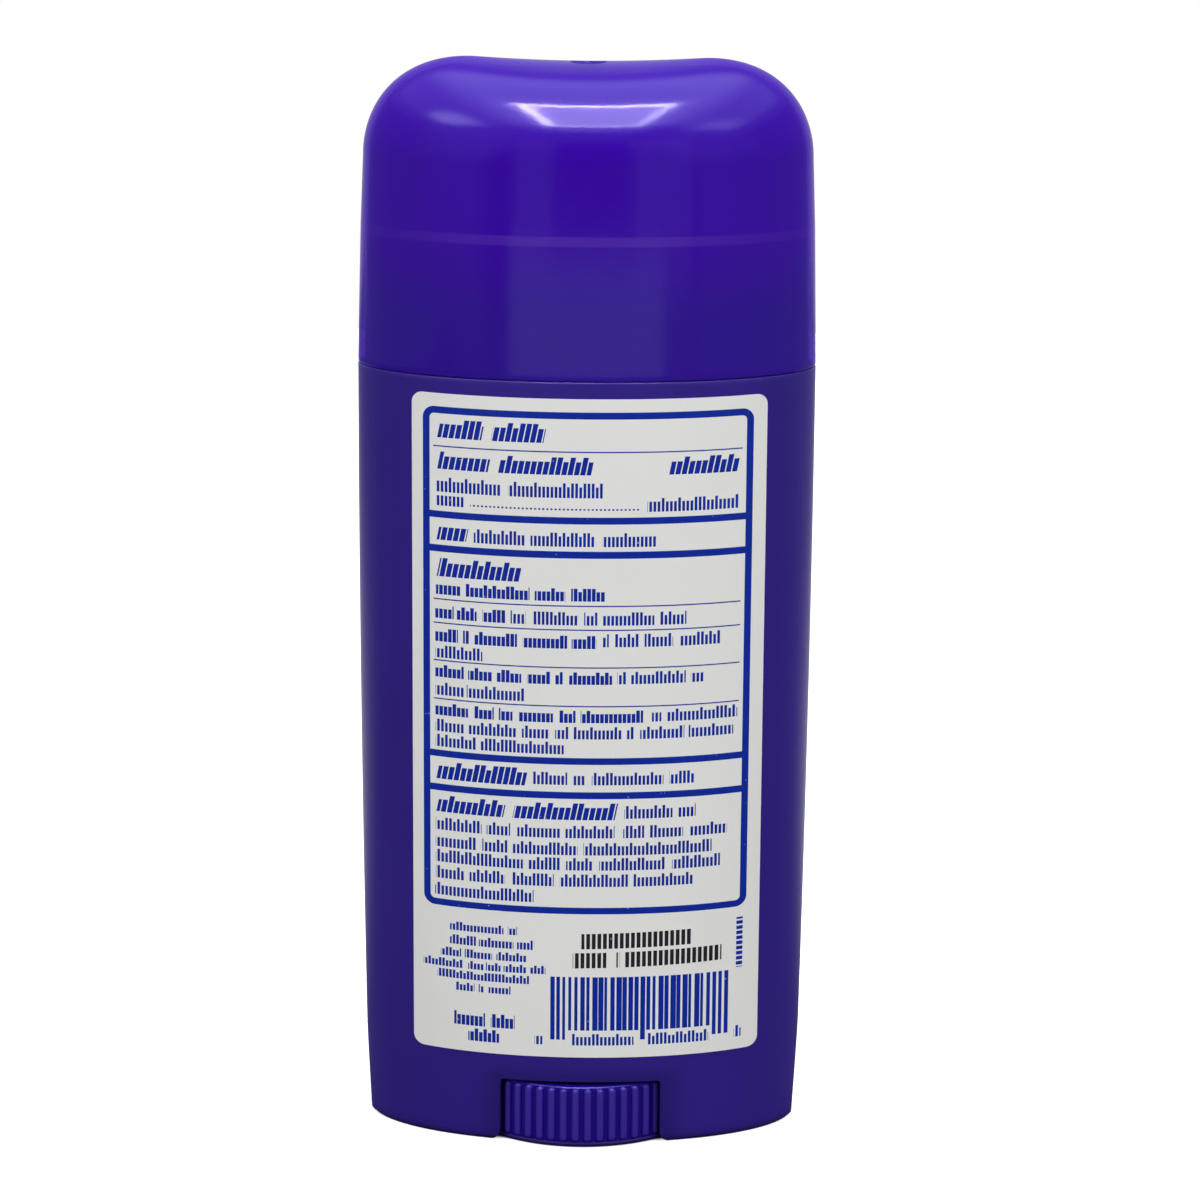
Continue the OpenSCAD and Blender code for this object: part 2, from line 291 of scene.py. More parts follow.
class Term:
    """One value in a material, which is a socket of its node tree. An operator between two of them, or
    between one and a number, adds a Math node, also where the number stands first. The operator | takes
    the greater of the two, which joins two masks."""

    def __init__(self, finish, socket):
        self.finish, self.socket = finish, socket

    def math(self, operation, *others):
        return self.finish.node("ShaderNodeMath", {"operation": operation},
                                dict(enumerate((self,) + others)))

    def __add__(self, other):
        return self.math("ADD", other)

    __radd__ = __add__

    def __mul__(self, other):
        return self.math("MULTIPLY", other)

    __rmul__ = __mul__

    def __sub__(self, other):
        return self.math("SUBTRACT", other)

    def __rsub__(self, other):
        return (self * -1) + other

    def __truediv__(self, other):
        return self.math("DIVIDE", other)

    def __pow__(self, other):
        return self.math("POWER", other)

    def __abs__(self):
        return self.math("ABSOLUTE")

    def __or__(self, other):
        return self.math("MAXIMUM", other)

    def __lt__(self, other):
        return self.math("LESS_THAN", other)

    def __gt__(self, other):
        return self.math("GREATER_THAN", other)

    def near(self, middle, reach):
        """1 within reach of the middle, and 0 outside."""
        return self.math("COMPARE", middle, reach)

    def ramp(self, low, high):
        """Climbs smoothly from 0 at low to 1 at high."""
        return self.finish.node("ShaderNodeMapRange", {"interpolation_type": "SMOOTHSTEP"},
                                {"Value": self, "From Min": low, "From Max": high})


class Finish:
    """The node tree of a material, where x, y and z are a point's place in mm, or of the world, where
    they are a direction. node() adds one node: its type, its settings, which are set first, and the
    values or links of its sockets, by name or by number."""

    def __init__(self, name, world=False):
        self.owner = (bpy.data.worlds if world else bpy.data.materials).new(name)
        self.owner.use_nodes = True
        self.tree = self.owner.node_tree
        self.tree.nodes.clear()
        self.output = "ShaderNodeOutputWorld" if world else "ShaderNodeOutputMaterial"
        self.place = self.node("ShaderNodeTexCoord", out="Generated" if world else "Object")
        parts = self.node("ShaderNodeSeparateXYZ", {}, {0: self.place}).socket.node
        unit = 1 if world else 1 / mm
        self.x, self.y, self.z = (Term(self, parts.outputs[k]) * unit for k in range(3))

    def node(self, kind, settings=None, values=None, out=0):
        made = self.tree.nodes.new(kind)
        for key, value in (settings or {}).items():
            setattr(made, key, value)
        for key, value in (values or {}).items():
            if isinstance(value, Term):
                self.tree.links.new(value.socket, made.inputs[key])
            elif isinstance(value, tuple) and len(made.inputs[key].default_value) == 4:
                made.inputs[key].default_value = (*value, 1)
            else:
                made.inputs[key].default_value = value
        return Term(self, made.outputs[out])

    def noise(self, scale, detail=2.0, stretch=(1, 1, 1)):
        """Cloudy noise from 0 to 1, with scale in waves per metre."""
        place = self.node("ShaderNodeMapping", {}, {"Vector": self.place, "Scale": stretch})
        return self.node("ShaderNodeTexNoise", {}, {"Vector": place, "Scale": scale, "Detail": detail})

    def mix(self, factor, first, second):
        """The first colour where the factor is 0, and the second where it is 1."""
        return self.node("ShaderNodeMix", {"data_type": "RGBA"}, {0: factor, 6: first, 7: second}, 2)

    def bump(self, height, distance):
        """A bumpy normal, from a height of 0 to 1 times a distance in metres."""
        return self.node("ShaderNodeBump", {}, {"Height": height, "Distance": distance, "Strength": 1.0})

    def plastic(self, **values):
        """A Principled shader, with an underscore for each space in a socket's name."""
        return self.node("ShaderNodeBsdfPrincipled", {},
                         {key.replace("_", " "): value for key, value in values.items()})

    def close(self, shader):
        """Links the shader to the output, and gives back the finished material or world."""
        output = self.tree.nodes.new(self.output)
        self.tree.links.new(shader.socket, output.inputs["Surface"])
        return self.owner


def tube(rings, loop=False):
    """A surface through a list of rings with the same number of points each."""
    rings = np.array(rings)
    return rings.reshape(-1, 3), tube_faces(rings.shape[0], rings.shape[1], loop=loop)


barrel = put("barrel_body", [tube(barrel_rings(), loop=True)], "barrel", "barrel")

deep_violet = Finish("deep violet plastic")
cloud = deep_violet.noise(38, 3)
grain = deep_violet.noise(1400, 2)
peel = deep_violet.noise(260, 2)
colour = deep_violet.mix(cloud, barrel_dark, barrel_light)
# Painted shade: the wall beside and above the windows is darkened, for the dial standing behind the thin
# wall.
near_window_shade = (1 - abs(deep_violet.x).ramp(11, 16)) * (1 - deep_violet.z.ramp(9, 12.5))
colour = deep_violet.mix(near_window_shade * 0.55, colour, window_painted_shade)
# Painted shadow: the wall is darkened towards the floor, for the shade where the foot stands on it.
contact_shade = 1 - deep_violet.z.ramp(0.2, 0.75)
colour = deep_violet.mix(contact_shade * 0.75, colour, floor_contact_shade)
# Painted light: the neck's bead is made paler, for its look through the cap that lies on it.
bead_band = deep_violet.z.near(neck_top - bead_height / 2, bead_height / 2 + 0.1)
colour = deep_violet.mix(bead_band * 0.8, colour, bead_painted_light)
surface = deep_violet.plastic(
    Base_Color=colour,
    Roughness=0.24 + cloud * 0.10 + grain * 0.05,
    Normal=deep_violet.bump(peel + grain * 0.15, 0.00002),
    Specular_IOR_Level=0.4)
barrel.data.materials.append(deep_violet.close(surface))

# Dial
# One moulding of the same plastic: a ribbed thumbwheel with six webs in its cup, a journal slit in
# four that snaps through the barrel's floor, and the long screw that stands on it.
dial_under = 0.1
rim_top = 0.8
rim_radius = 17.45
dial_over = 8.8
rib_end = dial_over - 0.15
rib_count = 62
rib_radius = 0.55
rib_circle = 16.95
rib_turn = math.radians(1.0)
cup_radius = 15.45
cup_floor = 1.6
journal_radius = 6.0
journal_bore = 4.7
journal_top = 14.1
snap_height = 1.2
snap_out = 0.6
slit_half = 0.5
web_top = 7.8
web_half = 0.5
screw_radius = 3.5
thread_depth = 0.8
thread_lead = 5.0
screw_tip = 118.0
tip_round = 2
groove_shaded_violet = (0.0080, 0.0006, 0.210)
crest_lit_violet = (0.0420, 0.0200, 0.285)
worn_violet = (0.018, 0.006, 0.19)
spin = [j for j in frame["joints"] if j["name"] == "dial_turn"][0]
hand = -1 if spin["axis"][2] > 0 else 1


def rib_ring(w, z):
    """One ring of the ribbed wall: the rib circle's radius, and on each rib a half round of the rib's
    radius. Towards both ends a rib's half round shrinks as a ball does, so the ribs end rounded."""
    pitch = 2 * np.pi / rib_count
    off = (np.mod((w - rib_turn) / pitch + 0.5, 1) - 0.5) * pitch * rib_circle
    from_end = np.clip(min(z - rim_top, rib_end - z), 0, rib_radius)
    ball = rib_radius ** 2 - (rib_radius - from_end) ** 2
    return round_ring(rib_circle + np.sqrt(np.clip(ball - off ** 2, 0, None)) * 0.985, w, z)


def thread_radius(w, z, low, high):
    """Radius of the screw's thread at angle w and height z: flat crests and roots with sloped flanks,
    one turn of the helix in each lead."""
    phase = np.mod(z / thread_lead - hand * w / (2 * np.pi), 1)
    swing = np.abs(phase - 0.5) * 2
    return low + (high - low) * np.clip((swing - 0.38) / 0.26, 0, 1)


def screw_rings(w, bottom, top):
    """Rings of the screw, three for each millimetre, with a rounded tip that closes at the top."""
    shank = top - tip_round
    root = screw_radius - thread_depth
    rings = [round_ring(thread_radius(w, z, root, screw_radius), w, z)
             for z in np.linspace(bottom, shank, int((shank - bottom) * 3))]
    for t in np.linspace(0, np.pi / 2, 7)[1:]:
        z = shank + tip_round * np.sin(t)
        rings.append(round_ring(thread_radius(w, z, root, screw_radius) * np.cos(t), w, z))
    return rings


def prong(start, end):
    """One of the journal's four prongs between two angles: a profile with the snap ring on its
    outside, carried round the arc, with flat ends."""
    profile = np.array([
        [journal_bore, floor_under - 0.2], [journal_radius, floor_under - 0.2],
        [journal_radius, journal_top], [journal_radius + snap_out - 0.1, journal_top],
        [journal_radius + snap_out, journal_top + 0.1], [journal_radius + 0.05, journal_top + snap_height],
        [journal_bore + 0.1, journal_top + snap_height], [journal_bore, journal_top + snap_height - 0.1]])
    arc = np.linspace(start, end, 20)
    middle = profile.mean(0)
    rows = []
    for k, w in enumerate([arc[0], *arc, arc[-1]]):
        shape = profile if 0 < k <= len(arc) else profile * 0 + middle
        rows.append(np.stack([shape[:, 0] * np.cos(w), shape[:, 0] * np.sin(w), shape[:, 1]], -1))
    return tube(rows)


def web(angle, r0, r1, z0, z1, half):
    """An upright plate that stands on the line at an angle, a little thinner at its top."""
    turning = np.array([[math.cos(angle), math.sin(angle)], [-math.sin(angle), math.cos(angle)]])
    rows = []
    for h, z in [(0, z0), (half, z0), (half * 0.85, z1), (0, z1)]:
        corners = np.array([[r0, -h], [r1, -h], [r1, h], [r0, h]])
        rows.append(np.column_stack([corners @ turning, np.full(4, z)]))
    rows[0][:] = rows[0].mean(0)
    rows[3][:] = rows[3].mean(0)
    return tube(rows)


w = np.linspace(0, 2 * np.pi, rib_count * 12 + 1)[:-1]
wheel = [round_ring(r, w, z) for r, z in [
    (0, dial_under), (8, dial_under), (rim_radius - 0.3, dial_under), (rim_radius - 0.08, dial_under + 0.05),
    (rim_radius, dial_under + 0.2), (rim_radius, rim_top - 0.2), (rim_radius - 0.07, rim_top - 0.07),
    (rib_circle + 0.1, rim_top - 0.02), (rib_circle, rim_top)]]
rib_heights = np.concatenate([
    rim_top + rib_radius * (1 - np.cos(np.linspace(0, np.pi / 2, 7))),
    np.linspace(rim_top + rib_radius, rib_end - rib_radius, 6)[1:-1],
    rib_end - rib_radius * (1 - np.sin(np.linspace(0, np.pi / 2, 7)))])
wheel += [rib_ring(w, z) for z in rib_heights]
wheel += [round_ring(r, w, z) for r, z in [
    (rib_circle - 0.02, dial_over - 0.12), (rib_circle - 0.15, dial_over), (cup_radius + 0.15, dial_over),
    (cup_radius, rib_end), (cup_radius, cup_floor + fillet), (cup_radius - fillet, cup_floor),
    (journal_radius + fillet, cup_floor), (journal_radius, cup_floor + fillet),
    (journal_radius, floor_under), (journal_bore, floor_under), (journal_bore, dial_over + ease),
    (journal_bore - ease, dial_over), (0, dial_over)]]
parts = [tube(wheel)]
w = np.linspace(0, 2 * np.pi, 49)[:-1]
screw_foot = dial_over - 0.5
parts.append(tube([round_ring(0, w, screw_foot)] + screw_rings(w, screw_foot, screw_tip)))
gap = math.asin(slit_half / journal_radius)
for quarter in range(4):
    middle = math.pi / 4 + quarter * math.pi / 2
    parts.append(prong(middle + gap, middle + math.pi / 2 - gap))
for k in range(6):
    parts.append(web(k * math.pi / 3, journal_radius - 0.2, cup_radius + 0.2, cup_floor - 0.2,
                     web_top, web_half))
dial = put("dial_and_screw", parts, "dial", "dial")

wheel_violet = Finish("wheel violet plastic")
from_axis = (wheel_violet.x ** 2 + wheel_violet.y ** 2) ** 0.5
# Painted light and shade: the ribs are lighter at their crests and darker in the grooves between them.
crest = from_axis.ramp(rib_circle, rib_circle + 0.4)
cloud = wheel_violet.noise(120, 3)
colour = wheel_violet.mix(crest, groove_shaded_violet, crest_lit_violet)
colour = wheel_violet.mix(cloud * 0.25, colour, worn_violet)
# Painted shadow: the rim is darkened towards the floor, for the shade where it stands on it.
contact_shade = 1 - wheel_violet.z.ramp(0.5, 1.0)
colour = wheel_violet.mix(contact_shade * 0.85, colour, floor_contact_shade)
surface = wheel_violet.plastic(
    Base_Color=colour,
    Roughness=0.24 + cloud * 0.12,
    Normal=wheel_violet.bump(wheel_violet.noise(900), 0.00002),
    Specular_IOR_Level=0.35)
dial.data.materials.append(wheel_violet.close(surface))

# Elevator
# One white moulding that climbs the screw without turning: a platform with a skirt that slides in
# the bore, a low rim that grips the foot of the stick, and a threaded nut boss braced by four webs.
platform_z = 73.0
platform_under = 71.5
guide_bottom = 59.0
cup_rim = 77.0
slide_gap = 0.3
elevator_in = bore_in + slide_gap
elevator_wall = 1.0
nut_radius = 6.0
nut_top = 78.0
nut_bottom = 63.0
run_gap = 0.1
milk_dark = (0.66, 0.67, 0.69)
milk_light = (0.73, 0.74, 0.76)


def elevator_rings(w):
    """Every ring of the elevator as one closed loop: up the outside, into the cup, over the nut boss,
    down its threaded bore, and out under the platform to the skirt's lower edge."""
    inner = elevator_in + elevator_wall
    rings = [oval(elevator_in + ease, w, guide_bottom), oval(elevator_in, w, guide_bottom + ease)]
    rings += [oval(elevator_in, w, z) for z in np.linspace(guide_bottom + 1, cup_rim - 1, 8)]
    rings += [oval(elevator_in, w, cup_rim - 0.25), oval(elevator_in + 0.25, w, cup_rim),
              oval(inner - ease, w, cup_rim), oval(inner, w, cup_rim - ease),
              oval(inner, w, platform_z + fillet), oval(inner + fillet, w, platform_z)]
    rings += [round_ring(r, w, z) for r, z in [
        (nut_radius + fillet, platform_z), (nut_radius, platform_z + fillet),
        (nut_radius, nut_top - ease), (nut_radius - ease, nut_top)]]
    root, crest = screw_radius - thread_depth + run_gap, screw_radius + run_gap
    rings += [round_ring(thread_radius(w, z, root, crest), w, z)
              for z in np.linspace(nut_top, nut_bottom, 46)]
    rings += [round_ring(r, w, z) for r, z in [
        (nut_radius - ease, nut_bottom), (nut_radius, nut_bottom + ease),
        (nut_radius, platform_under - fillet), (nut_radius + fillet, platform_under)]]
    rings += [oval(inner + fillet, w, platform_under), oval(inner, w, platform_under - fillet),
              oval(inner, w, guide_bottom + ease), oval(inner - ease, w, guide_bottom)]
    return rings


w = np.linspace(0, 2 * np.pi, 181)[:-1]
parts = [tube(elevator_rings(w), loop=True)]
for side in range(4):
    reach = (half_width if side % 2 == 0 else half_depth) - elevator_in - elevator_wall + 0.3
    parts.append(web(side * math.pi / 2, nut_radius - 0.3, reach, guide_bottom + 3, platform_under + 0.2,
                     web_half))
elevator = put("elevator_platform", parts, "carriage", "elevator")

milky = Finish("milky white plastic")
cloud = milky.noise(90, 3)
surface = milky.plastic(
    Base_Color=milky.mix(cloud, milk_dark, milk_light),
    Roughness=0.34 + cloud * 0.12,
    Normal=milky.bump(milky.noise(700), 0.00002))
elevator.data.materials.append(milky.close(surface))

# Stick
# The pressed wax itself, white and faintly waxy: a straight oval block with a domed end, turned in
# at its foot to fit the elevator's rim, and hollow where the screw and the nut boss stand in it.
stick_in = bore_in + slide_gap
stick_foot = stick_in + 1.05
stick_step = 77.05
dome_height = 10.4
stick_bore = 3.9
saddle = 2.5
wax_light = (0.70, 0.71, 0.71)
wax_dark = (0.62, 0.63, 0.65)


def crown_ring(inset, w, z, rise, t):
    """A ring of a crown at the angle t: the oval closes in by its half depth times 1 less the cosine,
    and climbs by the rise times the sine, while the saddle lifts it towards its two ends."""
    a, b = half_width - inset, half_depth - inset
    d = b * (1 - np.cos(t))
    x = (a - d) * np.cos(w)
    climb = np.sin(t) * (rise + saddle * (x / half_width) ** 2)
    return np.stack([x, (b - d) * np.sin(w), z + climb], -1)


w = np.linspace(0, 2 * np.pi, 241)[:-1]
stick_rings = [crown_ring(stick_in, w, neck_top, dome_height - 0.05, t)
               for t in np.linspace(np.pi / 2, 0, 34)]
stick_rings += [oval(stick_in, w, z) for z in np.linspace(neck_top, stick_step + 0.2, 12)[1:]]
stick_rings += [oval(stick_in + 0.2, w, stick_step), oval(stick_foot, w, stick_step)]
stick_rings += [oval(stick_foot, w, platform_z + fillet), oval(stick_foot + fillet, w, platform_z + 0.02)]
stick_rings += [round_ring(r, w, z) for r, z in [
    (nut_radius + 0.25, platform_z + 0.02), (nut_radius + 0.05, platform_z + 0.25),
    (nut_radius + 0.05, nut_top + 0.05), (stick_bore, nut_top + 0.05), (stick_bore, 98),
    (stick_bore, screw_tip + 0.3), (stick_bore - 0.2, screw_tip + 0.5), (0, screw_tip + 0.5)]]
stick = put("wax_stick", [tube(stick_rings)], "carriage", "stick")

wax = Finish("white wax")
cloud = wax.noise(60, 4)
speck = wax.noise(1500, 2).ramp(0.62, 0.75)
surface = wax.plastic(
    Base_Color=wax.mix(speck * 0.25 + cloud * 0.3, wax_light, wax_dark),
    Roughness=0.5 + cloud * 0.15,
    Subsurface_Weight=0.15,
    Subsurface_Radius=(0.0012, 0.0011, 0.0010),
    Normal=wax.bump(wax.noise(500, 4) + speck * 0.4, 0.00008))
stick.data.materials.append(wax.close(surface))

# Cap
# One thin translucent violet moulding that grips the neck: straight oval walls with two drafts, a
# saddle-shaped crown, and on top the small round dimple of the gate that it was filled through.
cap_side = 28.7
crown_height = 12.87
cap_wall = 0.95
draft_low = 0.024
draft_high = 0.04
neck_height = 19.4
gate_radius = 2.4
gate_depth = 0.5
gate_wall = 0.2
gate_above = 140
upper_dark = (0.0425, 0.0018, 0.390)
upper_light = (0.0540, 0.0030, 0.460)
lower_shaded_dark = (0.0300, 0.0058, 0.300)
lower_shaded_light = (0.0420, 0.0094, 0.360)
bead_seen_light = (0.120, 0.036, 0.50)
gate_shade = (0.008, 0.001, 0.12)


def cap_in(h):
    """How far the cap's outside is drawn in at a height above the seam: one draft up to the neck's
    bead and a steeper one above it."""
    return draft_low * np.minimum(h, neck_height) + draft_high * np.maximum(h - neck_height, 0)


def cap_rings(w):
    """Every ring of the cap, from the ridge inside down to the rim, round its edge, and up the outside
    to the ridge, with the gate's dimple pressed into the outside."""
    depth = half_depth - cap_in(cap_side)
    off = np.array([3.2, 2.8, 2.55, 2.4, 2.3, 2.2, 2.05, 1.85, 1.6, 1.3, 1.0, 0.6, 0])
    near_ridge = np.arccos(off / depth)
    steps = np.concatenate([np.linspace(0, near_ridge[0], 38)[:-1], near_ridge])
    shoulder = body_height + cap_side
    heights = np.array([0.4, 1, 3, 6, 10, 14, neck_height, 22, 25, cap_side - 0.5])
    rings = [crown_ring(cap_in(cap_side) + cap_wall, w, shoulder, crown_height - cap_wall, t)
             for t in steps[::-1]]
    rings += [oval(cap_in(h) + cap_wall, w, body_height + h) for h in heights[::-1]]
    rings += [oval(cap_wall, w, body_height + 0.15), oval(cap_wall - 0.12, w, body_height + 0.02)]
    for t in np.linspace(0, np.pi / 2, 5):
        rings.append(oval(0.27 - 0.25 * np.sin(t), w, body_height + 0.02 + 0.2 * (1 - np.cos(t))))
    rings += [oval(cap_in(h), w, body_height + h) for h in heights]
    top = [crown_ring(cap_in(cap_side), w, shoulder, crown_height, t) for t in steps]
    for ring in top:
        r = np.hypot(ring[:, 0], ring[:, 1])
        ring[:, 2] -= gate_depth * (1 - np.clip((r - gate_radius + gate_wall) / gate_wall, 0, 1))
    return rings + top


w = np.linspace(0, 2 * np.pi, 361)[:-1]
cap = put("lift_off_cap", [tube(cap_rings(w))], "cap", "cap")

clear_violet = Finish("translucent violet plastic")
cloud = clear_violet.noise(30, 3)
h = clear_violet.z - body_height
upper = clear_violet.mix(cloud, upper_dark, upper_light)
lower = clear_violet.mix(cloud, lower_shaded_dark, lower_shaded_light)
# Painted shade: below the neck's bead the wall is darker and greyer, for the neck standing behind it.
colour = clear_violet.mix(h.ramp(neck_height - 13, neck_height + 1), lower, upper)
# Painted light: a paler band where the wall lies over the neck's bead, fainter towards both ends.
over_bead = h.ramp(neck_height - 1.3, neck_height - 0.9) * (1 - h.ramp(neck_height, neck_height + 0.4))
to_side = abs(clear_violet.x).ramp(6, 31)
colour = clear_violet.mix(over_bead * (0.52 - to_side * 0.4), colour, bead_seen_light)
from_gate = (clear_violet.x ** 2 + clear_violet.y ** 2) ** 0.5
in_gate = 1 - from_gate.ramp(gate_radius, gate_radius + 0.15)
in_gate = in_gate * clear_violet.z.ramp(gate_above, gate_above + 1)
# Painted shade: the gate's dimple is darkened, for the shade inside the recess.
colour = clear_violet.mix(in_gate * 0.8, colour, gate_shade)
surface = clear_violet.plastic(
    Base_Color=colour,
    Roughness=0.10 + cloud * 0.03 + in_gate * 0.5,
    Normal=clear_violet.bump(clear_violet.noise(220), 0.00002),
    Specular_IOR_Level=0.55,
    Specular_Tint=(0.80, 0.74, 1.0))
seen_through = clear_violet.node("ShaderNodeBsdfTransparent", {}, {"Color": (0.45, 0.25, 0.95)})
cover = 0.66 + cloud * 0.06
mixed = clear_violet.node("ShaderNodeMixShader", {}, {0: cover, 1: seen_through, 2: surface})
cap.data.materials.append(clear_violet.close(mixed))

# Label
# A white paper sheet with rounded corners, printed in dark blue and glued round the back of the
# barrel. Plain blocks, rules and stripes stand in the places of its rows of print.
label_left = -23.65
label_right = 24.95
label_low = 13.0
label_high = 106.9
label_round = 1.5
label_thick = 0.12
label_off = 0.01
paper_dark = (0.72, 0.73, 0.715)
paper_light = (0.76, 0.77, 0.755)
ink_dark = (0.0003, 0.014, 0.25)
ink_light = (0.0008, 0.022, 0.33)
stamp_black = (0.012, 0.011, 0.016)


def label_layer(skin):
    """One side of the sheet as a grid: its rows follow the height and its columns the width, which
    pulls in at the rounded corners, laid on the drafted wall grown by skin."""
    corner = label_round * (1 - np.cos(np.linspace(0, np.pi / 2, 9)))
    straight = np.linspace(label_low + label_round, label_high - label_round, 40)[1:-1]
    z = np.concatenate([label_low + corner, straight, label_high - corner[::-1]])
    from_end = np.clip(np.minimum(z - label_low, label_high - z), 0, label_round)
    pull = label_round - np.sqrt(label_round ** 2 - (label_round - from_end) ** 2)
    across = np.linspace(0, 1, 90)[None, :]
    x = (label_left + pull)[:, None] * (1 - across) + (label_right - pull)[:, None] * across
    height = z[:, None] + 0 * x
    return wall_point(x, height, -1, wall_in(height) - skin)


outer = label_layer(label_off + label_thick)
inner = label_layer(label_off)
rows, columns = outer.shape[:2]
faces = tube_faces(rows, columns, around=False)
faces += tube_faces(rows, columns, around=False, first=rows * columns)
index = np.arange(rows * columns).reshape(rows, columns)
rim = np.concatenate([index[0], index[1:, -1], index[-1, -2::-1], index[-2:0:-1, 0]])
faces += [[a, b, b + rows * columns, a + rows * columns] for a, b in zip(rim, np.roll(rim, -1))]
faces = [[int(v) for v in face] for face in faces]
points = np.concatenate([outer.reshape(-1, 3), inner.reshape(-1, 3)])
label = put("back_label", [(points, faces)], "barrel", "label")

# Each row of print: its style, its foot and height, and from where to where each word of it runs.
print_rows = [
    ("head", 100.81, 2.60, [(-20.1, -13.6), (-12.7, -5.1)]),
    ("head", 96.45, 2.43, [(-20.1, -12.7), (-11.7, 1.4), (11.6, 21.3)]),
    ("text", 93.27, 2.05, [(-20.2, -11.2), (-10.3, 2.7)]),
    ("text", 91.35, 1.90, [(-20.2, -16.3), (8.7, 21.1)]),
    ("head", 86.54, 2.45, [(-20.2, -15.7)]),
    ("text", 86.50, 1.94, [(-15.0, -8.0), (-7.2, 1.6), (2.6, 10.0)]),
    ("head", 81.41, 2.60, [(-20.2, -8.4)]),
    ("bold", 78.87, 1.80, [(-20.3, -16.9), (-16.1, -7.3), (-6.6, -2.4), (-1.6, 3.1)]),
    ("bold", 75.50, 1.80, [(-20.4, -17.8), (-17.4, -14.6), (-13.8, -10.6)]),
    ("text", 75.50, 1.85, [(-9.9, -7.8), (-6.9, -0.6), (0.2, 2.0), (2.8, 9.8), (10.6, 14.2)]),
    ("bold", 72.20, 1.84, [(-20.4, -17.2), (-16.5, -15.7), (-14.9, -9.0), (-8.2, -2.1), (-1.5, 1.9)]),
    ("text", 72.45, 1.85, [(2.7, 3.6), (4.3, 7.7), (8.5, 12.4), (13.4, 19.0)]),
    ("text", 69.90, 1.75, [(-20.4, -13.8)]),
    ("bold", 67.13, 1.75, [(-20.4, -16.4), (-15.8, -12.5), (-11.8, -8.4), (-7.6, -4.4), (-3.7, -2.7),
                           (-1.8, 4.1)]),
    ("text", 67.20, 1.75, [(4.8, 6.0), (6.6, 14.2), (14.9, 16.7)]),
    ("text", 64.57, 1.80, [(-20.4, -16.4), (-16.0, -7.9)]),
    ("bold", 61.69, 1.75, [(-20.4, -15.8), (-15.0, -12.2), (-11.5, -9.6), (-8.8, -4.0), (-3.2, -0.9),
                           (-0.2, 8.4)]),
    ("text", 61.80, 1.75, [(9.6, 10.9), (11.6, 21.4)]),
    ("text", 59.37, 1.75, [(-20.4, -16.4), (-15.8, -9.0), (-8.3, -4.5), (-3.7, -1.9), (-1.2, 5.5),
                           (6.2, 7.1), (8.0, 14.1), (14.7, 20.9)]),
    ("text", 57.19, 1.75, [(-20.4, -14.7), (-14.0, -2.5)]),
    ("head", 52.53, 2.52, [(-20.3, -7.5)]),
    ("text", 52.80, 1.80, [(-6.7, -2.0), (-1.1, 0.5), (1.4, 11.3), (12.1, 15.6)]),
    ("head", 47.77, 2.40, [(-20.3, -10.5), (-9.6, 5.0)]),
    ("text", 47.95, 1.85, [(5.9, 12.6), (13.3, 15.8)]),
    ("text", 45.15, 1.80, [(-20.4, -13.9), (-13.2, -9.9), (-8.9, -3.0), (-2.2, 4.6), (5.8, 8.7), (9.4, 14.1),
                           (15.1, 20.2)]),
    ("text", 42.68, 1.80, [(-20.4, -14.6), (-13.8, -10.3), (-9.5, -0.5), (0.3, 18.1)]),
    ("text", 40.49, 1.80, [(-20.4, -8.1), (-7.4, -3.0), (-2.1, 1.6), (2.5, 11.7), (12.6, 19.3)]),
    ("text", 38.11, 1.80, [(-20.4, -16.3), (-15.6, -10.6), (-9.6, -3.8), (-3.0, 6.5), (7.3, 15.5)]),
    ("text", 35.68, 1.80, [(-20.5, -6.6)]),
    ("small", 30.71, 1.25, [(-18.4, -10.8), (-10.2, -8.9)]),
    ("small", 28.67, 1.38, [(-18.4, -14.7), (-14.3, -9.4), (-8.9, -6.7)]),
    ("small", 26.84, 1.25, [(-19.7, -16.8), (-16.3, -12.4), (-11.8, -7.6)]),
    ("small", 25.20, 1.20, [(-22.2, -16.5), (-15.8, -13.6), (-13.3, -11.2), (-10.8, -7.5), (-7.0, -4.9)]),
    ("small", 23.62, 1.20, [(-20.2, -7.2)]),
    ("small", 21.91, 1.20, [(-17.6, -14.9), (-14.3, -13.5), (-12.9, -9.8)]),
    ("bold", 16.85, 2.00, [(-17.8, -13.4), (-12.6, -9.2)]),
    ("bold", 14.62, 1.85, [(-15.8, -11.4)]),
    ("text", 14.80, 1.70, [(-6.4, -5.3), (-1.3, 7.5), (9.4, 18.0), (21.6, 22.6)])]

# A style's pitch from one stroke to the next, and the share of it that is ink.
styles = {"head": (0.86, 0.82), "bold": (0.62, 0.82), "text": (0.56, 0.66), "small": (0.5, 0.72)}
slant = 0.2
slant_back = 0.4
short_share = 0.74
short_chance = 0.66
paper = Finish("printed paper")
x, z = paper.x, paper.z


def block(x0, x1, z0, z1):
    """1 inside one upright rectangle of the label, and 0 outside."""
    return x.near((x0 + x1) / 2, (x1 - x0) / 2) * z.near((z0 + z1) / 2, (z1 - z0) / 2)


